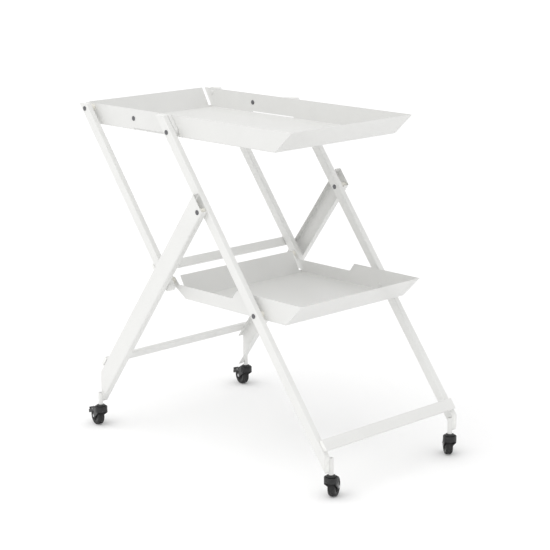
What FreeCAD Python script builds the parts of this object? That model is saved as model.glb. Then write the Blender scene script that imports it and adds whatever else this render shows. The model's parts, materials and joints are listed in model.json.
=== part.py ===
import FreeCAD, Part
import math
import os

# Folding salon trolley: two pressed-steel trays on a pair of crossed leg frames, on four swivel casters.
# Sizes are in millimetres. +Z is up, +X is the front, and Y = 0 is the plane of symmetry.
# The origin is on the floor, under the middle of the trolley's length and width.

# ---------------------------------------------------------------- overall sizes
OVERALL_HEIGHT = 884.0          # rim of the upper tray and tops of the legs
TRAY_WIDTH = 428.0              # outside of both trays
LOWER_TRAY_HEIGHT = 404.0       # floor to the underside of the lower tray
FRONT_LEG_ANGLE = 53.0          # slope of the front legs and the links, in degrees
REAR_LEG_ANGLE = 53.8           # slope of the rear legs, in degrees

# ---------------------------------------------------------------- trays
SHEET = 1.2                     # steel sheet of both trays
SHEET_BEND = 3.0                # outside radius of the bends
UPPER_TRAY_DEPTH = 55.0
UPPER_FLOOR_BEHIND_PIVOT = 341.0
UPPER_FLOOR_AHEAD_OF_PIVOT = 369.0
UPPER_FRONT_FLARE = 60.0
UPPER_REAR_FLARE = 31.0
LOWER_TRAY_DEPTH = 57.0
LOWER_FLOOR_BEHIND_PIVOT = 294.0
LOWER_FLOOR_AHEAD_OF_PIVOT = 83.0
LOWER_FRONT_FLARE = 58.0
LOWER_REAR_FLARE = 31.0
LOW_WALL_HEIGHT = 35.0          # rear stretch of the lower tray's side walls
LOW_WALL_END_BEHIND_PIVOT = 110.0
LOW_WALL_STEP = 17.0
CORNER_SLIT = 11.0              # open corner beside each rear flange
EAR_RADIUS = 10.0               # round end of the lower tray's ears
WALL_SLOT_HEIGHT = 2.4          # slot at the foot of the upper tray's side walls

# ---------------------------------------------------------------- pivots
TOP_PIVOT_DROP = 41.0           # front leg pivot, below the upper rim
LINK_PIVOT_DROP = 12.0          # link pivot, below the upper rim
PIVOT_SPREAD = 339.0            # from the front legs' pivots to the links' pivots
LOWER_PIVOT_RISE = 14.1         # front leg pivot, above the underside of the lower tray
CROSS_DISTANCE = 232.0          # from the top pivot to the rear leg's pivot, along the front leg
STOP_RIVET_BEHIND_PIVOT = 168.0
STOP_RIVET_DROP = 25.0          # below the upper rim
PIN_RADIUS = 4.0
PIN_CLEARANCE = 0.06            # radial, in every bore that turns
HEAD_RADIUS = 6.3
HEAD_THICKNESS = 2.2
BUSH_RADIUS = 8.0
SIDE_CLEARANCE = 0.3            # between faces that slide past each other

# ---------------------------------------------------------------- legs, links and rails
LEG_GAP = 11.4                  # from the tray's wall to the front legs and the links
TUBE_ACROSS = 18.0              # leg and link tube, measured along Y
TUBE_BEHIND = 12.0              # leg tube behind its pivot line
TUBE_AHEAD = 13.8               # leg tube ahead of its pivot line
LINK_HALF_WIDTH = 12.5
TUBE_WALL = 1.2
TUBE_CORNER = 3.5
PLUG_DEPTH = 12.0
PLUG_CLEARANCE = 0.1
ARM_GAP = 3.0                   # from the front legs to the rear legs
ARM_DEPTH = 19.0                # rear leg channel, along Y
ARM_BEHIND = 40.0               # channel behind its pivot line
ARM_AHEAD = 12.2
ARM_SHEET = 1.5
ARM_CORNER = 4.0
CUT_SPARE = 200.0                # how far a cutting shape or an uncut bar runs past the piece it makes
ARM_OPEN_SPARE = 20.0            # the rear leg's box before its open side is cut away
EAR_ROOT = 25.0                  # length of the ear's foot along the lower tray's side wall
FOOT_RISE = 27.2                # from the caster sockets' lower ends to the legs' pivot lines at the feet
LINK_END = 26.0                 # link past its lower pivot
RAIL_WALL = 1.2
RAIL_CORNER = 2.5
FRONT_RAIL_ABOVE_FOOT = 59.8    # along the front leg, from its cut foot
FRONT_RAIL_WIDTH = 30.0
FRONT_RAIL_THICKNESS = 12.0
FRONT_RAIL_INSET = 6.4          # rail end to the outside of the leg
LINK_RAIL_ABOVE_PIVOT = 62.0    # along the link, from its lower pivot
LINK_RAIL_WIDTH = 25.0
LINK_RAIL_THICKNESS = 9.0
REAR_RAIL_ABOVE_FOOT = 103.5    # along the rear leg, from its cut foot
REAR_RAIL_WIDTH = 29.0
REAR_RAIL_THICKNESS = 9.0

# ---------------------------------------------------------------- casters
WHEEL_RADIUS = 25.0
WHEEL_WIDTH = 19.0
HUB_RADIUS = 17.0
AXLE_RADIUS = 3.0
CASTER_TRAIL = 22.0             # from the stem's axis to the axle
WHEEL_SIDE_GAP = 1.5
WHEEL_RIM_GAP = 2.0
FORK_ABOVE_WHEEL = 11.5         # top of the fork's dome, above the wheel
FORK_DEPTH = 19.5               # dome and swivel head together
HEAD_BEYOND_WHEEL = 8.2         # swivel head's radius, past half the wheel's width
DOME_RADIUS = 12.6
DOME_ROUND = 4.4
DOME_RISE = 5.0                 # dome above the head's rim
GROOVE_WIDTH = 2.6              # round groove between the dome and the rim
GROOVE_DEPTH = 2.5
HEAD_ROUND = 1.8
FORK_ARM_HALF = 6.0             # half the width of a fork arm, seen from the side
FORK_ARM_THICKNESS = 2.5
FORK_ARM_SPLAY = 10.5           # lean of each arm, in degrees
FORK_ARM_BACK = 10.7            # upper end of an arm's middle line, ahead of the stem
FORK_ARM_RISE = 5.0             # the same point, above the head's underside
STEM_RADIUS = 4.0
STEM_HEAD_RADIUS = 6.0
STEM_HEAD_THICKNESS = 2.0
STEM_HEAD_COVER = 12.2          # fork above the pocket for the stem's head
STEM_HEAD_CLEARANCE = 0.5
STEM_SHORT = 4.0                # stem's top, below the top of its socket
SOCKET_GAP = 0.5                # from the fork to the socket
SOCKET_RADIUS = 6.2
SOCKET_SEAT = 0.4               # socket let into the leg's face where it is welded
FRONT_SOCKET_LENGTH = 43.0
REAR_SOCKET_LENGTH = 34.0
FRONT_STEM_INSET = 1.5          # from the cut foot to the stem's axis
REAR_STEM_INSET = 2.5
TRAIL_ANGLES = {
    "front_right": 117.0,
    "front_left": 142.0,
    "rear_right": 167.0,
    "rear_left": 167.0,
}
TYRE_ROUND = 3.0
HUB_INSET = 1.0                 # hub's rim, inside the tyre's side
HUB_RIM = 2.5
HUB_DISH = 3.5                  # depth of the dish, below the tyre's side
BOSS_WALL = 3.0
BOSS_PROUD = 0.8
AXLE_HEAD_RADIUS = 4.5
AXLE_HEAD_THICKNESS = 1.2
PEDAL_WIDTH = 15.0
PEDAL_LENGTH = 13.0             # paddle, behind the cross bar
PEDAL_RISE = 9.0                # paddle's end, above the foot of the cross bar
PEDAL_THICKNESS = 3.4
PEDAL_TRAVEL_GAP = 2.5          # cross bar to the tyre, with the brake off
PEDAL_BAR_THICKNESS = 4.0
PEDAL_BAR_HEIGHT = 8.5
PEDAL_BAR_ABOVE_AXLE = 1.5
PEDAL_ARM_GAP = 0.7             # between the tyre and each arm of the pedal
PEDAL_ARM_THICKNESS = 2.5
PEDAL_ARM_HALF = 3.6
PEDAL_LUG_GAP = 0.4
PEDAL_LUG_THICKNESS = 2.5
PEDAL_LUG_RADIUS = 5.5
PEDAL_PIN_RADIUS = 1.6
PEDAL_PIN_BACK = 3.0            # pedal's pins, behind the axle
PEDAL_PIN_ABOVE_AXLE = 19.5


def vec(x, y, z):
    return FreeCAD.Vector(x, y, z)


# ---------------------------------------------------------------- places worked out from the sizes
leg_angle = math.radians(FRONT_LEG_ANGLE)
arm_angle = math.radians(REAR_LEG_ANGLE)
down_leg = vec(math.cos(leg_angle), 0, -math.sin(leg_angle))
leg_front = vec(math.sin(leg_angle), 0, math.cos(leg_angle))
down_arm = vec(-math.cos(arm_angle), 0, -math.sin(arm_angle))
arm_back = vec(-math.sin(arm_angle), 0, math.cos(arm_angle))

fork_height = 2 * WHEEL_RADIUS + FORK_ABOVE_WHEEL
head_low = fork_height - FORK_DEPTH
head_radius = WHEEL_WIDTH / 2 + HEAD_BEYOND_WHEEL
socket_z = fork_height + SOCKET_GAP
foot_z = socket_z + FOOT_RISE

rim_z = OVERALL_HEIGHT
upper_floor_z = rim_z - UPPER_TRAY_DEPTH
lower_floor_z = LOWER_TRAY_HEIGHT
top_pivot_z = rim_z - TOP_PIVOT_DROP
front_foot_ahead = (top_pivot_z - foot_z) / math.tan(leg_angle)
front_foot_length = (top_pivot_z - foot_z) / math.sin(leg_angle)
rear_reach = UPPER_FLOOR_BEHIND_PIVOT + UPPER_REAR_FLARE
front_reach = front_foot_ahead - FRONT_STEM_INSET + head_radius
top_pivot_x = (rear_reach - front_reach) / 2

top_pivot = vec(top_pivot_x, 0, top_pivot_z)
link_pivot = vec(top_pivot_x - PIVOT_SPREAD, 0, rim_z - LINK_PIVOT_DROP)
pivot_drop = top_pivot.z - lower_floor_z - LOWER_PIVOT_RISE
leg_pivot_length = pivot_drop / math.sin(leg_angle)
lower_pivot = top_pivot + down_leg * leg_pivot_length
ear_pivot = link_pivot + down_leg * leg_pivot_length
cross_pivot = top_pivot + down_leg * CROSS_DISTANCE
rear_foot_length = (cross_pivot.z - foot_z) / math.sin(arm_angle)
stop_rivet = vec(top_pivot_x - STOP_RIVET_BEHIND_PIVOT, 0, rim_z - STOP_RIVET_DROP)

wall_out = TRAY_WIDTH / 2
wall_in = wall_out - SHEET
leg_in = wall_out + LEG_GAP
leg_out = leg_in + TUBE_ACROSS
arm_in = leg_out + ARM_GAP
arm_out = arm_in + ARM_DEPTH
front_foot_x = top_pivot_x + front_foot_ahead
rear_foot_x = cross_pivot.x - rear_foot_length * math.cos(arm_angle)
front_stem = vec(front_foot_x - FRONT_STEM_INSET, leg_in - SOCKET_RADIUS + SOCKET_SEAT, 0)
rear_stem = vec(rear_foot_x + REAR_STEM_INSET, arm_out + SOCKET_RADIUS - SOCKET_SEAT, 0)
bore_radius = PIN_RADIUS + PIN_CLEARANCE
MIRROR = vec(0, 1, 0)
FAR = 2000.0


# ---------------------------------------------------------------- helpers
def both_sides(shape):
    """The left-hand shape and its mirror image on the right, as one group of two solids."""
    return Part.makeCompound([shape, shape.mirror(vec(0, 0, 0), MIRROR)])


def on_side(shape, side):
    if side == "left":
        return shape
    return shape.mirror(vec(0, 0, 0), MIRROR)


def bar_y(centre, radius, y_start, y_end):
    """Round bar along +Y, at the X and Z of centre."""
    return Part.makeCylinder(radius, y_end - y_start, vec(centre.x, y_start, centre.z), MIRROR)


def prism_y(points, y_start, y_end):
    """Straight-sided plate: a closed outline in X and Z, given a width along Y."""
    corners = [vec(x, y_start, z) for x, z in points]
    face = Part.Face(Part.makePolygon(corners + [corners[0]]))
    return face.extrude(vec(0, y_end - y_start, 0))


def long_edges(shape, direction):
    """The straight edges of a box that run along a direction."""
    found = []
    for edge in shape.Edges:
        run = edge.Vertexes[-1].Point - edge.Vertexes[0].Point
        if run.Length > 0 and abs(abs(run.normalize().dot(direction)) - 1) < 1e-6:
            found.append(edge)
    return found


def placement(origin, along, across):
    """Rigid placement of local axes: X along, Y across, and Z square to both."""
    square = along.cross(across)
    turn = FreeCAD.Matrix(
        along.x, across.x, square.x, origin.x,
        along.y, across.y, square.y, origin.y,
        along.z, across.z, square.z, origin.z,
        0, 0, 0, 1,
    )
    return FreeCAD.Placement(turn)


def round_bar(origin, along, across, start, end, low, high, y_start, y_end, corner):
    """Rounded rectangular bar: runs along one direction, with its width across it and its depth on Y."""
    facing = along.cross(across).y
    z_low, z_high = sorted((y_start * facing, y_end * facing))
    box = Part.makeBox(end - start, high - low, z_high - z_low, vec(start, low, z_low))
    if corner > 0:
        box = box.makeFillet(corner, long_edges(box, vec(1, 0, 0)))
    box.Placement = placement(origin, along, across)
    return box


def below(z):
    return Part.makeBox(2 * FAR, 2 * FAR, FAR, vec(-FAR, -FAR, z - FAR))


def ahead_of(x):
    return Part.makeBox(FAR, 2 * FAR, 2 * FAR, vec(x, -FAR, -FAR))


def behind(x):
    return Part.makeBox(FAR, 2 * FAR, 2 * FAR, vec(x - FAR, -FAR, -FAR))


def rivet_head(centre, y_face, outward):
    """Low button head on a face square to Y; outward is +1 or -1."""
    head = Part.makeCylinder(HEAD_RADIUS, HEAD_THICKNESS, vec(0, 0, 0), vec(0, outward, 0))
    rim = [edge for edge in head.Edges if abs(edge.BoundBox.YMin + edge.BoundBox.YMax
                                              - 2 * outward * HEAD_THICKNESS) < 1e-6
           and edge.Length > HEAD_RADIUS]
    head = head.makeFillet(HEAD_THICKNESS * 0.6, rim)
    head.translate(vec(centre.x, y_face, centre.z))
    return head


def bush(centre, y_start, y_end):
    """Plain round spacer with a bore for the pin."""
    ring = bar_y(centre, BUSH_RADIUS, y_start, y_end)
    return ring.cut(bar_y(centre, bore_radius, y_start - 1, y_end + 1))


def write(node, shape):
    shape.exportStep("parts/" + node + ".step")
    print(node, "solids", len(shape.Solids), "volume", round(shape.Volume))


os.makedirs("parts", exist_ok=True)


# ---------------------------------------------------------------- trays
def tray_body(floor_z, depth, rear_x, front_x, rear_flare, front_flare):
    """Open tray of bent sheet: a floor, two side walls, and two flared flanges."""
    outline = [(rear_x, floor_z), (front_x, floor_z),
               (front_x + front_flare, floor_z + depth), (rear_x - rear_flare, floor_z + depth)]
    outside = prism_y(outline, -wall_out, wall_out)
    bends = [edge for edge in outside.Edges if abs(edge.BoundBox.ZMax - floor_z) < 1e-6]
    outside = outside.makeFillet(SHEET_BEND, bends)
    rear_run = math.hypot(depth, rear_flare)
    front_run = math.hypot(depth, front_flare)
    rear_in = SHEET * (rear_run - rear_flare) / depth
    front_in = SHEET * (front_run - front_flare) / depth
    high = depth + SHEET
    inline = [(rear_x + rear_in, floor_z + SHEET), (front_x - front_in, floor_z + SHEET),
              (front_x - front_in + front_flare * high / depth, floor_z + SHEET + high),
              (rear_x + rear_in - rear_flare * high / depth, floor_z + SHEET + high)]
    inside = prism_y(inline, -wall_in, wall_in)
    creases = [edge for edge in inside.Edges if abs(edge.BoundBox.ZMax - floor_z - SHEET) < 1e-6]
    inside = inside.makeFillet(SHEET_BEND - SHEET, creases)
    return outside.cut(inside)


def corner_slit(floor_z, depth, rear_x):
    """Cutter for the open corner between a rear flange and the left side wall."""
    slit = Part.makeBox(FAR, CORNER_SLIT - SHEET, depth,
                        vec(rear_x - 2 * SHEET - FAR, wall_out - CORNER_SLIT, floor_z + 2 * SHEET))
    return slit


def upper_tray():
    rear_x = top_pivot_x - UPPER_FLOOR_BEHIND_PIVOT
    front_x = top_pivot_x + UPPER_FLOOR_AHEAD_OF_PIVOT
    pan = tray_body(upper_floor_z, UPPER_TRAY_DEPTH, rear_x, front_x, UPPER_REAR_FLARE, UPPER_FRONT_FLARE)
    slot = Part.makeBox(top_pivot.x - stop_rivet.x, 2 * SHEET, WALL_SLOT_HEIGHT,
                        vec(stop_rivet.x, wall_in - SHEET / 2, upper_floor_z + SHEET_BEND))
    cuts = [both_sides(corner_slit(upper_floor_z, UPPER_TRAY_DEPTH, rear_x)), both_sides(slot)]
    for pivot in (link_pivot, stop_rivet):
        cuts.append(both_sides(bar_y(pivot, PIN_RADIUS, wall_in - 5, wall_out + 5)))
    for cut in cuts:
        pan = pan.cut(cut)
    return pan


def lower_tray():
    rear_x = lower_pivot.x - LOWER_FLOOR_BEHIND_PIVOT
    front_x = lower_pivot.x + LOWER_FLOOR_AHEAD_OF_PIVOT
    pan = tray_body(lower_floor_z, LOWER_TRAY_DEPTH, rear_x, front_x, LOWER_REAR_FLARE, LOWER_FRONT_FLARE)
    pan = pan.cut(both_sides(corner_slit(lower_floor_z, LOWER_TRAY_DEPTH, rear_x)))
    low_z = lower_floor_z + LOW_WALL_HEIGHT
    high_z = lower_floor_z + LOWER_TRAY_DEPTH + 1
    step_x = lower_pivot.x - LOW_WALL_END_BEHIND_PIVOT
    notch = prism_y([(rear_x - CUT_SPARE, low_z), (step_x, low_z), (step_x + LOW_WALL_STEP, high_z),
                     (rear_x - CUT_SPARE, high_z)], wall_in - 0.2, wall_out + 1)
    pan = pan.cut(both_sides(notch))
    toward_ear = vec(ear_pivot.x - rear_x, 0, ear_pivot.z - lower_floor_z).normalize()
    side = vec(toward_ear.z, 0, -toward_ear.x) * EAR_RADIUS
    foot = vec(rear_x, 0, lower_floor_z + SHEET_BEND) - side * 0.6
    ear = prism_y([(foot.x + side.x, foot.z + side.z + 4), (ear_pivot.x + side.x, ear_pivot.z + side.z),
                   (ear_pivot.x - side.x, ear_pivot.z - side.z), (rear_x, lower_floor_z + SHEET_BEND),
                   (rear_x + EAR_ROOT, lower_floor_z + SHEET_BEND)], wall_in, wall_out)
    ear = ear.fuse(bar_y(ear_pivot, EAR_RADIUS, wall_in, wall_out))
    pan = pan.fuse(both_sides(ear)).removeSplitter()
    for pivot in (lower_pivot, ear_pivot):
        pan = pan.cut(both_sides(bar_y(pivot, PIN_RADIUS, wall_in - 5, wall_out + 5)))
    return pan


def through_rivet(pivot, y_inner, y_outer, slack):
    """Rivet with a head on each end: tight on its inner face, with slack under its outer head."""
    pin = bar_y(pivot, PIN_RADIUS, y_inner, y_outer + slack)
    pin = pin.fuse(rivet_head(pivot, y_inner, -1))
    return pin.fuse(rivet_head(pivot, y_outer + slack, 1)).removeSplitter()


def leg_stud(pivot):
    """Stud welded to the outside of the upper tray, with its head outside the leg."""
    stud = bar_y(pivot, PIN_RADIUS, wall_out, leg_out + SIDE_CLEARANCE)
    return stud.fuse(rivet_head(pivot, leg_out + SIDE_CLEARANCE, 1)).removeSplitter()


# ---------------------------------------------------------------- front frame
def leg_bar(shrink, corner):
    """Front leg's outline as a solid bar; shrink takes a wall off it all round."""
    return round_bar(top_pivot, down_leg, leg_front, -CUT_SPARE, front_foot_length + CUT_SPARE,
                     -TUBE_BEHIND + shrink, TUBE_AHEAD - shrink, leg_in + shrink, leg_out - shrink, corner)


def cut_leg_ends(bar):
    return bar.common(below(rim_z)).common(behind(front_foot_x))


def front_leg():
    leg = cut_leg_ends(leg_bar(0, TUBE_CORNER))
    leg = leg.cut(leg_bar(TUBE_WALL, TUBE_CORNER - TUBE_WALL))
    for pivot in (top_pivot, cross_pivot, lower_pivot):
        leg = leg.cut(bar_y(pivot, bore_radius, leg_in - 5, leg_out + 5))
    return leg


def front_leg_plugs():
    core = cut_leg_ends(leg_bar(TUBE_WALL + PLUG_CLEARANCE, TUBE_CORNER - TUBE_WALL))
    top = core.cut(below(rim_z - PLUG_DEPTH))
    foot = core.common(ahead_of(front_foot_x - PLUG_DEPTH))
    return both_sides(Part.makeCompound([top, foot]))


def leg_spacer():
    """Pad between the leg and the upper tray's wall, as wide as the leg, with a round lower end."""
    y_start = wall_out + SIDE_CLEARANCE
    pad = round_bar(top_pivot, down_leg, leg_front, -CUT_SPARE, 0, -TUBE_BEHIND, TUBE_AHEAD,
                    y_start, leg_in, 0)
    middle = top_pivot + leg_front * ((TUBE_AHEAD - TUBE_BEHIND) / 2)
    pad = pad.fuse(bar_y(middle, (TUBE_AHEAD + TUBE_BEHIND) / 2, y_start, leg_in)).removeSplitter()
    pad = pad.common(below(rim_z))
    return pad.cut(bar_y(top_pivot, bore_radius, y_start - 5, leg_in + 5))


def rail(origin, along, across, start, width, face, thickness, half_length, hollow):
    """Cross rail: a flat rectangular tube along Y, on one face of a pair of legs."""
    wall = RAIL_WALL if hollow else RAIL_WALL + PLUG_CLEARANCE
    low, high = sorted((face, face + thickness))
    outer = Part.makeBox(width, high - low, 2 * half_length, vec(start, low, -half_length))
    outer = outer.makeFillet(RAIL_CORNER, long_edges(outer, vec(0, 0, 1)))
    inner = Part.makeBox(width - 2 * wall, high - low - 2 * wall, 2 * half_length + 2,
                         vec(start + wall, low + wall, -half_length - 1))
    inner = inner.makeFillet(RAIL_CORNER - RAIL_WALL, long_edges(inner, vec(0, 0, 1)))
    if hollow:
        shape = outer.cut(inner)
    else:
        left_end = Part.makeBox(FAR, FAR, PLUG_DEPTH, vec(-FAR / 2, -FAR / 2, half_length - PLUG_DEPTH))
        plug = inner.common(left_end)
        shape = Part.makeCompound([plug, plug.mirror(vec(0, 0, 0), vec(0, 0, 1))])
    shape.Placement = placement(origin, along, across)
    return shape


def socket(stem, length, leg):
    """Caster socket: a short upright tube, let a little into the leg's face that it is welded to."""
    tube = Part.makeCylinder(SOCKET_RADIUS, length, vec(stem.x, stem.y, socket_z))
    tube = tube.cut(leg)
    return tube.cut(Part.makeCylinder(STEM_RADIUS, length + 2, vec(stem.x, stem.y, socket_z - 1)))


def cross_rivet():
    rivet = bar_y(cross_pivot, PIN_RADIUS, leg_in, arm_out + SIDE_CLEARANCE)
    rivet = rivet.fuse(rivet_head(cross_pivot, leg_in, -1))
    return rivet.fuse(rivet_head(cross_pivot, arm_out + SIDE_CLEARANCE, 1)).removeSplitter()


# ---------------------------------------------------------------- links and rear frame
def link_bar(shrink, corner):
    return round_bar(link_pivot, down_leg, leg_front, -CUT_SPARE, leg_pivot_length + LINK_END,
                     -LINK_HALF_WIDTH + shrink, LINK_HALF_WIDTH - shrink, leg_in + shrink,
                     leg_out - shrink, corner)


def link_end_round(shape, shrink):
    """Rounds the link's lower end to a half circle."""
    centre = link_pivot + down_leg * (leg_pivot_length + LINK_END - LINK_HALF_WIDTH)
    straight = round_bar(centre, down_leg, leg_front, -leg_pivot_length - CUT_SPARE, 0, -CUT_SPARE,
                         CUT_SPARE, leg_in - 1, leg_out + 1, 0)
    keep = straight.fuse(bar_y(centre, LINK_HALF_WIDTH - shrink, leg_in - 1, leg_out + 1))
    return shape.common(keep)


def rear_link():
    link = link_end_round(link_bar(0, TUBE_CORNER).common(below(rim_z)), 0)
    hollow = link_end_round(link_bar(TUBE_WALL, TUBE_CORNER - TUBE_WALL), TUBE_WALL)
    link = link.cut(hollow)
    for pivot in (link_pivot, ear_pivot):
        link = link.cut(bar_y(pivot, bore_radius, leg_in - 5, leg_out + 5))
    return link


def link_plug():
    core = link_bar(TUBE_WALL + PLUG_CLEARANCE, TUBE_CORNER - TUBE_WALL).common(below(rim_z))
    plug = core.cut(below(rim_z - PLUG_DEPTH / 2))
    return plug.cut(bar_y(link_pivot, bore_radius + 1, leg_in, leg_out))


def rear_leg():
    outside = round_bar(cross_pivot, down_arm, arm_back, -CUT_SPARE, rear_foot_length + CUT_SPARE,
                        -ARM_AHEAD, ARM_BEHIND, arm_in - ARM_OPEN_SPARE, arm_out, ARM_CORNER)
    inside = round_bar(cross_pivot, down_arm, arm_back, -2 * CUT_SPARE, rear_foot_length + 2 * CUT_SPARE,
                       -ARM_AHEAD + ARM_SHEET, ARM_BEHIND - ARM_SHEET, arm_in - 2 * ARM_OPEN_SPARE,
                       arm_out - ARM_SHEET, ARM_CORNER - ARM_SHEET)
    open_side = Part.makeBox(2 * FAR, CUT_SPARE, 2 * FAR, vec(-FAR, arm_in - CUT_SPARE, -FAR))
    channel = outside.cut(inside).cut(open_side).common(ahead_of(rear_foot_x))
    above_leg = round_bar(top_pivot, down_leg, leg_front, -FAR, FAR, TUBE_AHEAD, TUBE_AHEAD + FAR,
                          0, arm_out + CUT_SPARE, 0)
    channel = channel.cut(above_leg)
    return channel.cut(bar_y(cross_pivot, bore_radius, arm_in - 5, arm_out + 5))


# ---------------------------------------------------------------- casters, with the stem's axis at X = Y = 0
wheel_half = WHEEL_WIDTH / 2
well_half = wheel_half + WHEEL_SIDE_GAP
axle_point = vec(CASTER_TRAIL, 0, WHEEL_RADIUS)
rim_top = fork_height - DOME_RISE
splay = math.tan(math.radians(FORK_ARM_SPLAY))
pedal_pin_point = axle_point + vec(PEDAL_PIN_BACK, 0, PEDAL_PIN_ABOVE_AXLE)
pedal_arm_in = wheel_half + PEDAL_ARM_GAP
pedal_arm_out = pedal_arm_in + PEDAL_ARM_THICKNESS
lug_in = pedal_arm_out + PEDAL_LUG_GAP
lug_out = lug_in + PEDAL_LUG_THICKNESS
axle_half = well_half + FORK_ARM_THICKNESS


def disc(radius, z_low, z_high):
    """Round plate about the stem's axis."""
    return Part.makeCylinder(radius, z_high - z_low, vec(0, 0, z_low))


def circles_at(shape, z):
    """The edges of a round plate that lie flat at one height."""
    return [edge for edge in shape.Edges
            if abs(edge.BoundBox.ZMin - z) < 1e-6 and abs(edge.BoundBox.ZMax - z) < 1e-6]


def bar_between(start, end, half_width, y_start, y_end):
    """Straight flat bar from one point to another, with a round end at each."""
    run = (end - start).normalize()
    side = vec(-run.z, 0, run.x) * half_width
    corners = [start + side, end + side, end - side, start - side]
    bar = prism_y([(corner.x, corner.z) for corner in corners], y_start, y_end)
    for point in (start, end):
        bar = bar.fuse(bar_y(point, half_width, y_start, y_end))
    return bar


def fork_head():
    """Round swivel head: a rim, a groove inside it, and a low dome around the stem."""
    head = disc(head_radius, head_low, rim_top)
    head = head.makeFillet(HEAD_ROUND, circles_at(head, rim_top))
    head = head.cut(disc(DOME_RADIUS + GROOVE_WIDTH, rim_top - GROOVE_DEPTH, fork_height))
    dome = disc(DOME_RADIUS, head_low, fork_height)
    return head.fuse(dome.makeFillet(DOME_ROUND, circles_at(dome, fork_height)))


def fork_arm():
    """Left arm: slopes back from the head to the axle, and leans in towards the wheel as it goes down."""
    upper = vec(-FORK_ARM_BACK, 0, head_low + FORK_ARM_RISE)
    side_view = bar_between(upper, axle_point, FORK_ARM_HALF, 0, 2 * head_radius)
    rise = head_low + FORK_ARM_RISE / 2 - axle_point.z
    drop = FORK_ARM_HALF + 1
    inner_high, inner_low = well_half + splay * rise, well_half - splay * drop
    z_high, z_low = axle_point.z + rise, axle_point.z - drop
    outline = [vec(-FAR, inner_low, z_low), vec(-FAR, inner_high, z_high),
               vec(-FAR, inner_high + FORK_ARM_THICKNESS, z_high),
               vec(-FAR, inner_low + FORK_ARM_THICKNESS, z_low)]
    front_view = Part.Face(Part.makePolygon(outline + [outline[0]])).extrude(vec(2 * FAR, 0, 0))
    footprint = disc(head_radius, 0, fork_height).fuse(ahead_of(0))
    return side_view.common(front_view).common(footprint)


def pedal_lug():
    """Left lug of a braked fork: a flat plate that reaches back from the head to the pedal's pin."""
    start = vec(0, 0, pedal_pin_point.z)
    return bar_between(start, pedal_pin_point, PEDAL_LUG_RADIUS, lug_in, lug_out)


def caster_fork(braked):
    """Moulded fork: a domed swivel head and two arms that carry the axle."""
    fork = fork_head().fuse(both_sides(fork_arm()))
    if braked:
        fork = fork.fuse(both_sides(pedal_lug()))
        fork = fork.cut(bar_y(pedal_pin_point, PEDAL_PIN_RADIUS, -FAR, FAR))
    fork = fork.cut(bar_y(axle_point, WHEEL_RADIUS + WHEEL_RIM_GAP, -well_half, well_half))
    fork = fork.cut(disc(STEM_RADIUS + PIN_CLEARANCE, 0, fork_height + 1))
    fork = fork.cut(disc(STEM_HEAD_RADIUS + STEM_HEAD_CLEARANCE, 0, fork_height - STEM_HEAD_COVER))
    fork = fork.cut(both_sides(bar_y(axle_point, AXLE_HEAD_RADIUS, axle_half, FAR)))
    return fork.cut(bar_y(axle_point, AXLE_RADIUS, -FAR, FAR)).removeSplitter()


def caster_stem(socket_length):
    top = socket_z + socket_length - STEM_SHORT
    head_top = fork_height - STEM_HEAD_COVER - PIN_CLEARANCE
    stem = disc(STEM_RADIUS, head_top - STEM_HEAD_THICKNESS, top)
    return stem.fuse(disc(STEM_HEAD_RADIUS, head_top - STEM_HEAD_THICKNESS, head_top))


def caster_tyre():
    tyre = bar_y(axle_point, WHEEL_RADIUS, -wheel_half, wheel_half)
    tyre = tyre.makeFillet(TYRE_ROUND, [edge for edge in tyre.Edges if edge.BoundBox.YLength < 1e-6])
    return tyre.cut(bar_y(axle_point, HUB_RADIUS, -FAR, FAR))


def caster_hub():
    """Hub with a dish in each side, around a boss that runs on the axle."""
    half = wheel_half - HUB_INSET
    hub = bar_y(axle_point, HUB_RADIUS, -half, half)
    dish = bar_y(axle_point, HUB_RADIUS - HUB_RIM, wheel_half - HUB_DISH, WHEEL_WIDTH)
    hub = hub.cut(both_sides(dish))
    boss_half = wheel_half + BOSS_PROUD
    hub = hub.fuse(bar_y(axle_point, AXLE_RADIUS + BOSS_WALL, -boss_half, boss_half))
    return hub.cut(bar_y(axle_point, AXLE_RADIUS + PIN_CLEARANCE, -FAR, FAR)).removeSplitter()


def caster_axle():
    axle = bar_y(axle_point, AXLE_RADIUS, -axle_half, axle_half)
    head = bar_y(axle_point, AXLE_HEAD_RADIUS, axle_half, axle_half + AXLE_HEAD_THICKNESS)
    return axle.fuse(both_sides(head)).removeSplitter()


def brake_pedal():
    """Lever with an arm on each side of the wheel, a cross bar behind it, and a paddle for the foot."""
    bar_front = CASTER_TRAIL + WHEEL_RADIUS + PEDAL_TRAVEL_GAP
    bar_back = bar_front + PEDAL_BAR_THICKNESS
    low = WHEEL_RADIUS + PEDAL_BAR_ABOVE_AXLE
    high = low + PEDAL_BAR_HEIGHT
    bar_middle = vec(bar_back - PEDAL_ARM_HALF, 0, (low + high) / 2)
    arm = bar_between(pedal_pin_point, bar_middle, PEDAL_ARM_HALF, pedal_arm_in, pedal_arm_out)
    cross = prism_y([(bar_front, low), (bar_back, low), (bar_back, high), (bar_front, high)],
                    -pedal_arm_out, pedal_arm_out)
    end = bar_front + PEDAL_LENGTH
    paddle = prism_y([(bar_front, low), (bar_back, low), (end, low + PEDAL_RISE),
                      (end - 1, low + PEDAL_RISE + PEDAL_THICKNESS), (bar_back, high), (bar_front, high)],
                     -PEDAL_WIDTH / 2, PEDAL_WIDTH / 2)
    lever = cross.fuse([paddle, both_sides(arm)]).removeSplitter()
    return lever.cut(bar_y(pedal_pin_point, PEDAL_PIN_RADIUS + PIN_CLEARANCE, -FAR, FAR))


def pedal_pins():
    return both_sides(bar_y(pedal_pin_point, PEDAL_PIN_RADIUS, pedal_arm_in, lug_out))


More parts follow.
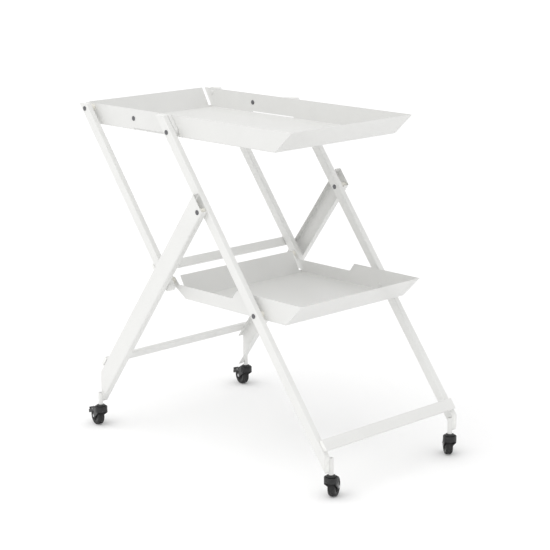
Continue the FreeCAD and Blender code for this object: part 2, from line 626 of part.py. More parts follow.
def at_stem(shape, stem, corner):
    """Turns a caster piece to its trail direction and puts it at its stem."""
    shape = shape.copy()
    shape.rotate(vec(0, 0, 0), vec(0, 0, 1), TRAIL_ANGLES[corner])
    sign = 1 if corner.endswith("left") else -1
    shape.translate(vec(stem.x, sign * stem.y, 0))
    return shape


# ---------------------------------------------------------------- write every node
write("upper_tray_pan", upper_tray())
write("upper_tray_leg_studs", both_sides(leg_stud(top_pivot)))
write("upper_tray_link_rivets", both_sides(through_rivet(link_pivot, wall_in, leg_out, SIDE_CLEARANCE)))
write("upper_tray_link_bushes", both_sides(bush(link_pivot, wall_out, leg_in - SIDE_CLEARANCE)))
write("upper_tray_stop_rivets", both_sides(through_rivet(stop_rivet, wall_in, wall_out, 0)))

write("lower_tray_pan", lower_tray())
write("lower_tray_leg_rivets", both_sides(through_rivet(lower_pivot, wall_in, leg_out, SIDE_CLEARANCE)))
write("lower_tray_leg_bushes", both_sides(bush(lower_pivot, wall_out, leg_in - SIDE_CLEARANCE)))
write("lower_tray_link_rivets", both_sides(through_rivet(ear_pivot, wall_in, leg_out, SIDE_CLEARANCE)))
write("lower_tray_link_bushes", both_sides(bush(ear_pivot, wall_out, leg_in - SIDE_CLEARANCE)))

left_leg = front_leg()
leg_solid = leg_bar(0, 0)
front_rail_half = leg_out - FRONT_RAIL_INSET
for side in ("right", "left"):
    write("front_leg_" + side, on_side(left_leg, side))
    write("front_leg_spacer_" + side, on_side(leg_spacer(), side))
    write("front_caster_socket_" + side, on_side(socket(front_stem, FRONT_SOCKET_LENGTH, leg_solid), side))
write("front_leg_plugs", front_leg_plugs())
front_rail_start = front_foot_length - FRONT_RAIL_ABOVE_FOOT
for name, hollow in (("front_cross_rail", True), ("front_rail_plugs", False)):
    write(name, rail(top_pivot, down_leg, leg_front, front_rail_start, FRONT_RAIL_WIDTH,
                     TUBE_AHEAD, FRONT_RAIL_THICKNESS, front_rail_half, hollow))
write("cross_rivets", both_sides(cross_rivet()))
write("cross_bushes", both_sides(bush(cross_pivot, leg_out, arm_out - ARM_SHEET - SIDE_CLEARANCE)))

left_link = rear_link()
for side in ("right", "left"):
    write("rear_link_" + side, on_side(left_link, side))
write("rear_link_plugs", both_sides(link_plug()))
link_rail_start = leg_pivot_length - LINK_RAIL_ABOVE_PIVOT
for name, hollow in (("rear_link_rail", True), ("link_rail_plugs", False)):
    write(name, rail(link_pivot, down_leg, leg_front, link_rail_start, LINK_RAIL_WIDTH,
                     -LINK_HALF_WIDTH, -LINK_RAIL_THICKNESS, leg_out, hollow))

left_arm = rear_leg()
arm_solid = Part.makeBox(FAR, arm_out - arm_in, FAR, vec(rear_foot_x, arm_in, 0))
for side in ("right", "left"):
    write("rear_leg_" + side, on_side(left_arm, side))
    write("rear_caster_socket_" + side, on_side(socket(rear_stem, REAR_SOCKET_LENGTH, arm_solid), side))
rear_rail_start = rear_foot_length - REAR_RAIL_ABOVE_FOOT
for name, hollow in (("rear_leg_rail", True), ("rear_rail_plugs", False)):
    write(name, rail(cross_pivot, down_arm, arm_back, rear_rail_start, REAR_RAIL_WIDTH,
                     ARM_BEHIND, REAR_RAIL_THICKNESS, arm_out, hollow))

for end, stem, length in (("front", front_stem, FRONT_SOCKET_LENGTH),
                          ("rear", rear_stem, REAR_SOCKET_LENGTH)):
    left_stem = caster_stem(length)
    left_stem.translate(vec(stem.x, stem.y, 0))
    write(end + "_caster_stems", both_sides(left_stem))
    for side in ("right", "left"):
        corner = end + "_" + side
        pieces = {"fork": caster_fork(end == "rear"), "tyre": caster_tyre(), "hub": caster_hub(),
                  "axle": caster_axle()}
        if end == "rear":
            pieces["brake_pedal"] = brake_pedal()
            pieces["pedal_pins"] = pedal_pins()
        for piece, shape in pieces.items():
            write(corner + "_" + piece, at_stem(shape, stem, corner))

places = {
    "top_pivot": top_pivot,
    "link_pivot": link_pivot,
    "cross_pivot": cross_pivot,
    "lower_pivot": lower_pivot,
    "ear_pivot": ear_pivot,
    "front_stem": front_stem,
    "rear_stem": rear_stem,
    "axle": axle_point,
    "pedal_pin": pedal_pin_point,
    "socket_foot": vec(0, 0, socket_z),
}
for label, point in places.items():
    print(label, round(point.x, 3), round(point.y, 3), round(point.z, 3))
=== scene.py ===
# %% [markdown]
# # A folding salon trolley
# Two white steel trays hang on crossed leg frames and roll on four black casters.
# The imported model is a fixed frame: every piece below is made in metres, in its place,
# and rides on the body that carries it. The shapes of most pieces are merged, eased copies of the
# frame's own; the rivets, wheels, axles, pedal ribs and welds are made here.

# %% Load the frame
import json
import math

import bmesh
import bpy
from mathutils import Matrix, Vector


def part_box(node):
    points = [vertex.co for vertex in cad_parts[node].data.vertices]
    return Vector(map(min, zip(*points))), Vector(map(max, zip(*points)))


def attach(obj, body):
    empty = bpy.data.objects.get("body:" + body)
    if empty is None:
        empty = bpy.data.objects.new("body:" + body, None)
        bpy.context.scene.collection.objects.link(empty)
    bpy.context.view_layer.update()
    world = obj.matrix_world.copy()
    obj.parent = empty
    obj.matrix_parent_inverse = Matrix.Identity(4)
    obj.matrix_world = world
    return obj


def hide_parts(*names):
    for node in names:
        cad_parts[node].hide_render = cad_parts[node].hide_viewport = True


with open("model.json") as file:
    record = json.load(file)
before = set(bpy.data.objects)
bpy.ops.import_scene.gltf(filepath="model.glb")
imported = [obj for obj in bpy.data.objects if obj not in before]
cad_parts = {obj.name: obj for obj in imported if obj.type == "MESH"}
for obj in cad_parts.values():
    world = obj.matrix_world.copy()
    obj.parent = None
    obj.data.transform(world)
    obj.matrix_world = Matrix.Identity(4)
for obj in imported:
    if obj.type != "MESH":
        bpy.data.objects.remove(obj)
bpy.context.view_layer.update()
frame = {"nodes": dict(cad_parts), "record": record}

body_of_node = {node: body for body, nodes in frame["record"]["behaviour"]["bodies"].items()
                for node in nodes}
slot_of_node = {part["node"]: part["material_slot"] for part in frame["record"]["subparts"]}
MM = 0.001

# %% [markdown]
# The camera stands in front and to the right of the trolley, a little above it, with a long lens,
# so that the far legs look almost as large as the near ones.

# %% Camera
CAMERA_PLACE = Vector((3.23929, -3.0338, 1.5118))
CAMERA_AZIMUTH = math.radians(46.56)
CAMERA_ELEVATION = math.radians(13.51)
CAMERA_ROLL = math.radians(-0.44)
LENS_MM = 112.57
SENSOR_MM = 36.0


def make_camera():
    back = Vector((math.sin(CAMERA_AZIMUTH) * math.cos(CAMERA_ELEVATION),
                   -math.cos(CAMERA_AZIMUTH) * math.cos(CAMERA_ELEVATION),
                   math.sin(CAMERA_ELEVATION)))
    right = Vector((0, 0, 1)).cross(back).normalized()
    up = back.cross(right)
    tilted_right = right * math.cos(CAMERA_ROLL) + up * math.sin(CAMERA_ROLL)
    tilted_up = back.cross(tilted_right)
    turn = Matrix((tilted_right, tilted_up, back)).transposed().to_4x4()
    data = bpy.data.cameras.new("camera")
    data.lens = LENS_MM
    data.sensor_width = SENSOR_MM
    data.clip_end = 200.0
    camera = bpy.data.objects.new("camera", data)
    camera.matrix_world = Matrix.Translation(CAMERA_PLACE) @ turn
    bpy.context.scene.collection.objects.link(camera)
    bpy.context.scene.camera = camera
    return camera


print(make_camera().name, "lens", LENS_MM, "mm")

# %% [markdown]
# ## Helpers for materials
# Every colour is written as the sRGB hex value that a colour picker shows, and turned to linear light
# in one place. One function adds a node, sets its sockets and links it.


# %% Material helpers
def linear(hex_colour):
    """sRGB hex to linear RGBA."""
    parts = [int(hex_colour[i:i + 2], 16) / 255 for i in (0, 2, 4)]
    low = [c / 12.92 if c <= 0.04045 else ((c + 0.055) / 1.055) ** 2.4 for c in parts]
    return (*low, 1.0)


def add(tree, kind, settings=None, **sockets):
    """Adds a node. settings are its own properties; sockets are values, or outputs to link from."""
    node = tree.nodes.new(kind)
    for name, value in (settings or {}).items():
        setattr(node, name, value)
    for name, value in sockets.items():
        key = int(name[1:]) if name[1:].isdigit() else name.replace("_", " ")
        if isinstance(value, bpy.types.NodeSocket):
            tree.links.new(value, node.inputs[key])
        else:
            node.inputs[key].default_value = value
    return node


def start_material(name):
    """A new material with its surface shader and object coordinates in metres."""
    material = bpy.data.materials.new(name)
    material.use_nodes = True
    tree = material.node_tree
    shader = tree.nodes["Principled BSDF"]
    place = add(tree, "ShaderNodeTexCoord").outputs["Object"]
    return material, tree, shader, place


def per_metre(size_mm):
    """Scale of a noise or wave pattern whose features are size_mm apart."""
    return 1.0 / (size_mm * MM)


# %% [markdown]
# ## White powder coat
# The trays, legs and rails are steel, sprayed with white powder and baked. The powder melts into a
# skin that is even in colour, half glossy, and very slightly lumpy, like orange peel.
# Real peel is about 2 mm across, which is too fine to show from here,
# so a slower wave of 9 mm is laid under it to break up the reflections.

# %% Powder coat
PEEL_MM = 2.2
FLOW_MM = 9.0
PEEL_DEPTH_MM = 0.012
HANDLING_MM = 60.0


def powder_coat(name, hex_colour, roughness):
    material, tree, shader, place = start_material(name)
    peel = add(tree, "ShaderNodeTexNoise", Vector=place, Scale=per_metre(PEEL_MM), Detail=2.0)
    flow = add(tree, "ShaderNodeTexNoise", Vector=place, Scale=per_metre(FLOW_MM), Detail=1.0)
    height = add(tree, "ShaderNodeMath", {"operation": "MULTIPLY_ADD"},
                 _0=flow.outputs["Fac"], _1=1.6, _2=peel.outputs["Fac"])
    bump = add(tree, "ShaderNodeBump", Height=height.outputs[0], Strength=0.55,
               Distance=PEEL_DEPTH_MM * MM)
    handled = add(tree, "ShaderNodeTexNoise", Vector=place, Scale=per_metre(HANDLING_MM), Detail=3.0)
    gloss = add(tree, "ShaderNodeMapRange", Value=handled.outputs["Fac"], From_Min=0.3, From_Max=0.7,
                To_Min=roughness - 0.04, To_Max=roughness + 0.05)
    shade = add(tree, "ShaderNodeMapRange", Value=handled.outputs["Fac"], From_Min=0.3, From_Max=0.7,
                To_Min=0.0, To_Max=1.0)
    base = linear(hex_colour)
    darker = (*[c * 0.975 for c in base[:3]], 1.0)
    colour = add(tree, "ShaderNodeMix", {"data_type": "RGBA"},
                 Factor=shade.outputs[0], _6=darker, _7=base)
    tree.links.new(colour.outputs[2], shader.inputs["Base Color"])
    tree.links.new(gloss.outputs[0], shader.inputs["Roughness"])
    tree.links.new(bump.outputs[0], shader.inputs["Normal"])
    shader.inputs["IOR"].default_value = 1.5
    return material


tray_paint = powder_coat("white_powder_coat_trays", "E2E2E0", 0.34)
frame_paint = powder_coat("white_powder_coat_frame", "E6E6E4", 0.36)
print(tray_paint.name, frame_paint.name)

# %% [markdown]
# ## Black moulded nylon
# Forks, pedals and hubs are injection-moulded nylon. The mould is spark eroded, which leaves a fine
# even grain of about 0.3 mm and a soft sheen on the edges. The grain here is 0.9 mm, because a finer
# one would be lost. The eye sees a black that is a little lighter where light grazes it.

# %% Black nylon
GRAIN_MM = 0.9
FLOW_MARK_MM = 14.0


def moulded_nylon(name, hex_colour, roughness, grain_depth_mm):
    material, tree, shader, place = start_material(name)
    grain = add(tree, "ShaderNodeTexNoise", Vector=place, Scale=per_metre(GRAIN_MM), Detail=2.0)
    bump = add(tree, "ShaderNodeBump", Height=grain.outputs["Fac"], Strength=0.5,
               Distance=grain_depth_mm * MM)
    flow = add(tree, "ShaderNodeTexNoise", Vector=place, Scale=per_metre(FLOW_MARK_MM), Detail=2.0)
    gloss = add(tree, "ShaderNodeMapRange", Value=flow.outputs["Fac"], From_Min=0.3, From_Max=0.7,
                To_Min=roughness - 0.06, To_Max=roughness + 0.08)
    base = linear(hex_colour)
    lighter = (*[min(1.0, c * 1.35 + 0.002) for c in base[:3]], 1.0)
    colour = add(tree, "ShaderNodeMix", {"data_type": "RGBA"},
                 Factor=flow.outputs["Fac"], _6=base, _7=lighter)
    tree.links.new(colour.outputs[2], shader.inputs["Base Color"])
    tree.links.new(gloss.outputs[0], shader.inputs["Roughness"])
    tree.links.new(bump.outputs[0], shader.inputs["Normal"])
    shader.inputs["IOR"].default_value = 1.53
    return material


black_nylon = moulded_nylon("black_moulded_nylon", "0F0F10", 0.42, 0.03)
hub_nylon = moulded_nylon("black_moulded_nylon_hub", "161617", 0.38, 0.02)
white_plastic = moulded_nylon("white_moulded_polythene", "E0E0DD", 0.45, 0.015)
natural_nylon = moulded_nylon("natural_moulded_nylon", "D9D7CF", 0.45, 0.015)

# %% [markdown]
# ## Black tyre
# The tyre is a softer black plastic pressed round the hub. It is duller than the fork, and its tread
# is dulled further by floor dust.


# %% Tyre
DUST_MM = 5.0


def rolled_tyre():
    material, tree, shader, place = start_material("black_moulded_tyre")
    dust = add(tree, "ShaderNodeTexNoise", Vector=place, Scale=per_metre(DUST_MM), Detail=4.0)
    amount = add(tree, "ShaderNodeMapRange", Value=dust.outputs["Fac"], From_Min=0.45, From_Max=0.8,
                 To_Min=0.0, To_Max=0.35)
    colour = add(tree, "ShaderNodeMix", {"data_type": "RGBA"}, Factor=amount.outputs[0],
                 _6=linear("161617"), _7=linear("4A4845"))
    gloss = add(tree, "ShaderNodeMapRange", Value=dust.outputs["Fac"], From_Min=0.3, From_Max=0.7,
                To_Min=0.48, To_Max=0.66)
    bump = add(tree, "ShaderNodeBump", Height=dust.outputs["Fac"], Strength=0.4, Distance=0.04 * MM)
    tree.links.new(colour.outputs[2], shader.inputs["Base Color"])
    tree.links.new(gloss.outputs[0], shader.inputs["Roughness"])
    tree.links.new(bump.outputs[0], shader.inputs["Normal"])
    shader.inputs["IOR"].default_value = 1.5
    return material


tyre_black = rolled_tyre()

# %% [markdown]
# ## Zinc-plated steel
# Rivets, stems and axles are steel with a thin zinc plate. New plate is bright; on the rivets it has
# gone a dull dark grey. The plate is a metal, so its colour is the colour of its reflections.


# %% Plated steel
BLOOM_MM = 3.0


def plated_steel(name, hex_colour, roughness):
    material, tree, shader, place = start_material(name)
    bloom = add(tree, "ShaderNodeTexNoise", Vector=place, Scale=per_metre(BLOOM_MM), Detail=4.0)
    gloss = add(tree, "ShaderNodeMapRange", Value=bloom.outputs["Fac"], From_Min=0.3, From_Max=0.7,
                To_Min=roughness - 0.08, To_Max=roughness + 0.12)
    base = linear(hex_colour)
    dull = (*[c * 0.7 for c in base[:3]], 1.0)
    colour = add(tree, "ShaderNodeMix", {"data_type": "RGBA"},
                 Factor=bloom.outputs["Fac"], _6=dull, _7=base)
    bump = add(tree, "ShaderNodeBump", Height=bloom.outputs["Fac"], Strength=0.4, Distance=0.02 * MM)
    tree.links.new(colour.outputs[2], shader.inputs["Base Color"])
    tree.links.new(gloss.outputs[0], shader.inputs["Roughness"])
    tree.links.new(bump.outputs[0], shader.inputs["Normal"])
    shader.inputs["Metallic"].default_value = 1.0
    return material


rivet_steel = plated_steel("dull_zinc_plated_steel", "7D7D80", 0.42)
bright_steel = plated_steel("bright_zinc_plated_steel", "C9CACC", 0.28)

finish_of_slot = {
    "tray_coat": tray_paint,
    "frame_coat": frame_paint,
    "rivet_steel": rivet_steel,
    "bright_steel": bright_steel,
    "white_plastic": white_plastic,
    "bush_nylon": natural_nylon,
    "black_plastic": black_nylon,
    "hub_plastic": hub_nylon,
    "black_tyre": tyre_black,
}

# %% [markdown]
# ## How a new piece joins the model
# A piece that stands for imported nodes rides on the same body, hides them, and names the same finish.
# A piece that the frame doesn't hold, such as a weld bead, only rides and names its finish.


# %% Joining a piece to the frame
WELD_DISTANCE = 0.002 * MM
FLAT_FACE_WEIGHT = 80


def join_model(mesh, name, body, slot, nodes=()):
    """Makes an object of a mesh, in its place, with its finish, its body and the nodes it stands for."""
    for face in mesh.polygons:
        face.use_smooth = True
    mesh.materials.append(finish_of_slot[slot])
    piece = bpy.data.objects.new(name, mesh)
    bpy.context.scene.collection.objects.link(piece)
    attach(piece, body)
    if nodes:
        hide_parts(*nodes)
    return piece


def finish_mesh(bm, name):
    """Merges doubles, turns every face outwards, and gives the bmesh's mesh."""
    bmesh.ops.remove_doubles(bm, verts=bm.verts, dist=WELD_DISTANCE)
    bmesh.ops.recalc_face_normals(bm, faces=bm.faces)
    mesh = bpy.data.meshes.new(name)
    bm.to_mesh(mesh)
    bm.free()
    return mesh


def ease_edges(piece, radius_mm, angle=28.0):
    """Rolls over a piece's sharp edges with a bevel, and keeps its large flat faces flat in shading."""
    bevel = piece.modifiers.new("eased edges", "BEVEL")
    bevel.width = radius_mm * MM
    bevel.segments = 2
    bevel.limit_method = "ANGLE"
    bevel.angle_limit = math.radians(angle)
    shading = piece.modifiers.new("flat faces", "WEIGHTED_NORMAL")
    shading.weight = FLAT_FACE_WEIGHT
    return piece


# %% [markdown]
# ## Eased copies of the pressed and welded steel
# A pressed tray or a sawn tube has no perfectly sharp edge: the burr is taken off, and the powder
# builds up over it in a bead. The frame's own meshes hold the exact shapes, so each piece here is a
# merged copy of one, with its flat faces joined up again and its sharp edges rolled over by a bevel.
# A copy of loose triangles has to be merged before a bevel can find its edges.


# %% Eased copies
SAME_PLANE = math.radians(0.3)


def eased_copy(node, radius_mm):
    """A copy of a frame node's mesh with eased edges, which stands for that node."""
    bm = bmesh.new()
    bm.from_mesh(frame["nodes"][node].data)
    bmesh.ops.remove_doubles(bm, verts=bm.verts, dist=WELD_DISTANCE)
    bmesh.ops.dissolve_limit(bm, angle_limit=SAME_PLANE, verts=bm.verts, edges=bm.edges,
                             use_dissolve_boundaries=False)
    mesh = bpy.data.meshes.new(node + "_finished")
    bm.to_mesh(mesh)
    bm.free()
    piece = join_model(mesh, node + "_finished", body_of_node[node], slot_of_node[node], [node])
    return ease_edges(piece, radius_mm)


EDGE_OF_SHEET_MM = 0.35
EDGE_OF_TUBE_MM = 0.5
EDGE_OF_MOULDING_MM = 0.6
eased = {"upper_tray_pan": EDGE_OF_SHEET_MM, "lower_tray_pan": EDGE_OF_SHEET_MM,
         "front_leg_plugs": EDGE_OF_TUBE_MM, "rear_link_plugs": EDGE_OF_TUBE_MM}
for side in ("right", "left"):
    eased["front_leg_" + side] = EDGE_OF_TUBE_MM
    eased["front_leg_spacer_" + side] = EDGE_OF_TUBE_MM
    eased["rear_link_" + side] = EDGE_OF_TUBE_MM
    eased["rear_leg_" + side] = EDGE_OF_TUBE_MM
    for end in ("front", "rear"):
        eased[end + "_caster_socket_" + side] = EDGE_OF_TUBE_MM
        eased[end + "_" + side + "_fork"] = EDGE_OF_MOULDING_MM
    eased["rear_" + side + "_brake_pedal"] = EDGE_OF_MOULDING_MM
for node in ("front_cross_rail", "rear_link_rail", "rear_leg_rail"):
    eased[node] = EDGE_OF_TUBE_MM
for node, radius in eased.items():
    eased_copy(node, radius)
print("eased copies", len(eased))

# %% [markdown]
# ## Rivets
# Each pivot is a steel rivet with a low button head. A head like this is turned, so it is spun: half
# of its outline, from the middle of the dome to the shank, goes once round the pivot's axis. The
# heads sit exactly where the frame's rivets are, which are found from those nodes' own boxes.


# %% Spinning a round piece
def spun(bm, outline, centre, along, steps):
    """Spins an outline of (distance along the axis, radius) points, in metres, round an axis."""
    along = Vector(along).normalized()
    outward = along.orthogonal().normalized()
    points = [Vector(centre) + along * run + outward * radius for run, radius in outline]
    verts = [bm.verts.new(point) for point in points]
    edges = [bm.edges.new(pair) for pair in zip(verts, verts[1:])]
    bmesh.ops.spin(bm, geom=verts + edges, cent=centre, axis=along, angle=math.tau, steps=steps,
                   use_merge=True)


def arc(centre, radius, start, end, count):
    """Points of a round stretch of an outline, from one angle to another in degrees."""
    angles = [math.radians(start + (end - start) * i / count) for i in range(count + 1)]
    return [(centre[0] + radius * math.cos(a), centre[1] + radius * math.sin(a)) for a in angles]


# %% [markdown]
# The studs on the front legs have a head outside only, because they are welded to the tray's wall.
# On two pairs of rivets the head inside the tray was painted with the tray, so it is a piece of its
# own in the tray's finish. All the others are bare steel, which reads as a dark grey spot.

# %% Rivets and studs
HEAD_THICKNESS = 2.2 * MM
HEAD_RADIUS = 6.3 * MM
SHANK_RADIUS = 4.0 * MM
HEAD_LIP = 0.5 * MM
RIVET_STEPS = 36
NO_INNER_HEAD = ("upper_tray_leg_studs",)
PAINTED_INSIDE = ("upper_tray_link_rivets", "lower_tray_leg_rivets")
RIVET_NODES = ("upper_tray_leg_studs", "upper_tray_link_rivets", "upper_tray_stop_rivets",
               "lower_tray_leg_rivets", "lower_tray_link_rivets", "cross_rivets")


def head_outline(face):
    """Half outline of a button head that stands on a face, from its crown in to the shank."""
    bulge = HEAD_THICKNESS - HEAD_LIP
    dome = [(face + HEAD_LIP + bulge * along, HEAD_RADIUS * out)
            for along, out in arc((0.0, 0.0), 1.0, 0, 90, 7)]
    return dome + [(face, HEAD_RADIUS), (face, SHANK_RADIUS)]


def make_rivets(node):
    """Turned rivets for one node, with painted inner heads as pieces of their own."""
    low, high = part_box(node)
    centre = ((low[0] + high[0]) / 2, 0.0, (low[2] + high[2]) / 2)
    inner = min(abs(v.co.y) for v in frame["nodes"][node].data.vertices)
    shank_end = inner + HEAD_THICKNESS
    painted = node in PAINTED_INSIDE
    body = body_of_node[node]
    bm = bmesh.new()
    caps = bmesh.new()
    for side in (1, -1):
        outline = head_outline(high[1] - HEAD_THICKNESS)
        inner_head = [(-run, radius) for run, radius in head_outline(-shank_end)][::-1]
        if painted:
            outline += [(shank_end, SHANK_RADIUS), (shank_end, 0.0)]
            cap = inner_head[1:] + [(shank_end, 0.0)]
            spun(caps, cap, centre, (0, side, 0), RIVET_STEPS)
        elif node in NO_INNER_HEAD:
            outline += [(inner, SHANK_RADIUS), (inner, 0.0)]
        else:
            outline += inner_head
        spun(bm, outline, centre, (0, side, 0), RIVET_STEPS)
    if painted:
        name = node + "_inner_heads"
        join_model(finish_mesh(caps, name), name, body, "tray_coat")
    else:
        caps.free()
    name = node + "_turned"
    return join_model(finish_mesh(bm, name), name, body, "rivet_steel", [node])


for node in RIVET_NODES:
    print(make_rivets(node).name)

# %% [markdown]
# ## Wheels
# A caster's wheel is two mouldings: a hard hub with a dished web and ribs, and a tyre pressed round
# it, with rolled shoulders and two fine grooves in its tread. Both are spun round the axle. The
# axle's place and direction come from the frame's own joint for that wheel.

# %% Tyres and hubs
WHEEL_RADIUS = 25.0 * MM
WHEEL_HALF = 9.5 * MM
HUB_RADIUS = 17.0 * MM
HUB_INSET = 1.0 * MM
HUB_RIM = 2.5 * MM
HUB_DISH = 3.5 * MM
HUB_FILLET = 0.3 * MM
HUB_EDGE_MM = 0.25
AXLE_BORE = 3.06 * MM
BOSS_RADIUS = 6.0 * MM
BOSS_PROUD = 0.8 * MM
BOSS_ROUND = 0.5 * MM
BOSS_FOOT = 1.0 * MM
SHOULDER = 3.0 * MM
SIDE_STEP = 0.4 * MM
SIDE_STEP_WIDTH = 1.0 * MM
GROOVE_MIDDLE = 3.7 * MM
GROOVE_TOP_HALF = 0.5 * MM
GROOVE_FLOOR_HALF = 0.2 * MM
GROOVE_DEPTH = 0.6 * MM
CORNERS = ("front_right", "front_left", "rear_right", "rear_left")
joint_of = {joint["name"]: joint for joint in frame["record"]["behaviour"]["joints"]}


def wheel_axis(corner):
    """A wheel's centre and the direction of its axle."""
    joint = joint_of[corner + "_roll"]
    return Vector(joint["pos_m"]), Vector(joint["axis"])


def both_halves(right):
    """Closes an outline whose left half mirrors its right half."""
    return right + [(-run, radius) for run, radius in right[::-1]] + [right[0]]


def tyre_outline():
    """Side step, shoulder and groove of the right half, from the bore out to the tread."""
    side, top = WHEEL_HALF, WHEEL_RADIUS
    step = side - SIDE_STEP
    step_start = HUB_RADIUS + HUB_INSET - SIDE_STEP
    step_end = step_start + SIDE_STEP_WIDTH
    groove_floor = top - GROOVE_DEPTH
    wall = [(side - HUB_INSET, HUB_RADIUS), (step, step_start), (step, step_end),
            (side, step_end + SIDE_STEP)]
    shoulder = arc((side - SHOULDER, top - SHOULDER), SHOULDER, 0, 90, 6)
    groove = [(GROOVE_MIDDLE + GROOVE_TOP_HALF, top), (GROOVE_MIDDLE + GROOVE_FLOOR_HALF, groove_floor),
              (GROOVE_MIDDLE - GROOVE_FLOOR_HALF, groove_floor), (GROOVE_MIDDLE - GROOVE_TOP_HALF, top)]
    return both_halves(wall + shoulder + groove)


def hub_outline():
    """Boss, dish and rim of the right half, from the bore out."""
    boss = WHEEL_HALF + BOSS_PROUD
    dish = WHEEL_HALF - HUB_DISH
    rim = WHEEL_HALF - HUB_INSET
    rim_inside = HUB_RADIUS - HUB_RIM
    return both_halves([
        (boss, AXLE_BORE), (boss, BOSS_RADIUS - BOSS_ROUND), (boss - BOSS_ROUND, BOSS_RADIUS),
        (dish + HUB_FILLET, BOSS_RADIUS + HUB_FILLET), (dish, BOSS_RADIUS + BOSS_FOOT),
        (dish, rim_inside - 3 * HUB_FILLET), (dish + HUB_FILLET, rim_inside - HUB_FILLET),
        (rim - HUB_FILLET, rim_inside), (rim, rim_inside + HUB_FILLET), (rim, HUB_RADIUS)])


# %% [markdown]
# Six radial ribs in each dish join the boss to the rim. A moulded hub has them because thin walls cool
# evenly and ribs stiffen them. Their ends run a little into the boss and the rim.

# %% Ribs, and the four wheels
RIBS = 6
RIB_WIDTH = 1.8 * MM
RIB_HEIGHT = 2.2 * MM
RIB_LET_IN = 0.6 * MM
RIB_BELOW_SIDE = 2.9 * MM
RIB_END = 2.6 * MM
TYRE_STEPS = 72
HUB_STEPS = 48


def add_ribs(bm, centre, along):
    """Radial ribs in both dishes, between the boss and the rim."""
    length = HUB_RADIUS - RIB_END - BOSS_RADIUS
    turn = Vector((0, 0, 1)).rotation_difference(along).to_matrix().to_4x4()
    size = Matrix.Diagonal((length + RIB_LET_IN, RIB_WIDTH, RIB_HEIGHT, 1.0))
    for number in range(RIBS):
        spoke = Matrix.Rotation(math.tau * number / RIBS, 4, "Z")
        for side in (1, -1):
            place = Matrix.Translation((BOSS_RADIUS + length / 2, 0,
                                        side * (WHEEL_HALF - RIB_BELOW_SIDE)))
            bmesh.ops.create_cube(bm, size=1.0,
                                  matrix=Matrix.Translation(centre) @ turn @ spoke @ place @ size)


for corner in CORNERS:
    centre, along = wheel_axis(corner)
    wheel_body = corner + "_wheel"
    bm = bmesh.new()
    spun(bm, tyre_outline(), centre, along, TYRE_STEPS)
    node = corner + "_tyre"
    name = node + "_moulded"
    join_model(finish_mesh(bm, name), name, wheel_body, "black_tyre", [node])
    bm = bmesh.new()
    spun(bm, hub_outline(), centre, along, HUB_STEPS)
    add_ribs(bm, centre, along)
    node = corner + "_hub"
    name = node + "_moulded"
    hub = join_model(finish_mesh(bm, name), name, wheel_body, "hub_plastic", [node])
    ease_edges(hub, HUB_EDGE_MM, angle=40.0)
print("wheels", len(CORNERS))

# %% [markdown]
# ## Axles
# The axle is a rivet too: a plain shank with a low domed head outside each arm of the fork.

# %% Axles
AXLE_RADIUS = 3.0 * MM
AXLE_HEAD_RADIUS = 4.5 * MM
AXLE_HALF = 13.5 * MM
AXLE_HEAD = 1.2 * MM
AXLE_STEPS = 32
DOME_STEP = math.radians(15)
for corner in CORNERS:
    centre, along = wheel_axis(corner)
    dome = [(AXLE_HALF + AXLE_HEAD * math.cos(a), AXLE_HEAD_RADIUS * math.sin(a))
            for a in [DOME_STEP * i for i in range(7)]]
    right = dome + [(AXLE_HALF, AXLE_RADIUS)]
    left = [(-run, radius) for run, radius in right[::-1]]
    bm = bmesh.new()
    spun(bm, right + left, centre, along, AXLE_STEPS)
    node = corner + "_axle"
    join_model(finish_mesh(bm, node + "_riveted"), node + "_riveted", corner + "_caster",
               "bright_steel", [node])

# %% [markdown]
# ## Treads on the brake pedals
# A shoe slips on smooth plastic, so the paddle has low ribs across it. They lie on the slope of the
# paddle, and are round rods sunk by about half. The two ends of the slope are repeated from the
# pedal's sizes, measured from the floor under the caster's stem, along its trail.

# %% Pedal ribs
TRAIL = 22.0 * MM
PADDLE_START = Vector((55.0 * MM, 0.0, 36.2 * MM))
PADDLE_END = Vector((60.6 * MM, 0.0, 38.5 * MM))
PADDLE_RIBS = 3
PADDLE_WIDTH = 12.5 * MM
PADDLE_RIB_RADIUS = 0.7 * MM


def pedal_frame(corner):
    """Local axes of a caster: X along its trail, Z up, and the floor under its stem as origin."""
    centre, along = wheel_axis(corner)
    trail = Vector((0, 0, 1)).cross(along).normalized()
    trail = -trail if trail.x > 0 else trail
    origin = centre - trail * TRAIL
    origin.z = 0.0
    turn = Matrix((trail, Vector((0, 0, 1)).cross(trail), Vector((0, 0, 1)))).transposed().to_4x4()
    return Matrix.Translation(origin) @ turn


for corner in ("rear_right", "rear_left"):
    bm = bmesh.new()
    for number in range(PADDLE_RIBS):
        share = number / (PADDLE_RIBS - 1)
        spot = PADDLE_START.lerp(PADDLE_END, share)
        across = Matrix.Rotation(math.pi / 2, 4, "X")
        bmesh.ops.create_cone(bm, cap_ends=True, segments=12, radius1=PADDLE_RIB_RADIUS,
                              radius2=PADDLE_RIB_RADIUS, depth=PADDLE_WIDTH,
                              matrix=pedal_frame(corner) @ Matrix.Translation(spot) @ across)
    name = corner + "_pedal_ribs"
    join_model(finish_mesh(bm, name), name, corner + "_pedal", "black_plastic")

# %% [markdown]
# ## Weld beads
# The rails and the caster sockets are welded to the legs. A bead laid by hand is a row of small
# overlapping ripples, painted over with the rest, and about 3 mm wide. Each bead starts as a thin
# rod, which planes cut into slices while every second ring of points is scaled up.
# This has a known fault. Each new ring is cut from a rod that the last ring has already swollen, so
# the swelling adds up, and a bead bulges: to about 4 mm on the front rail, 6 mm on the rear ones,
# 8 mm on the rear sockets and 15 mm on the front sockets. Cutting every ring first and scaling
# afterwards would keep them even. A socket gets its bead only on the side where the leg is wide
# enough to hold one.

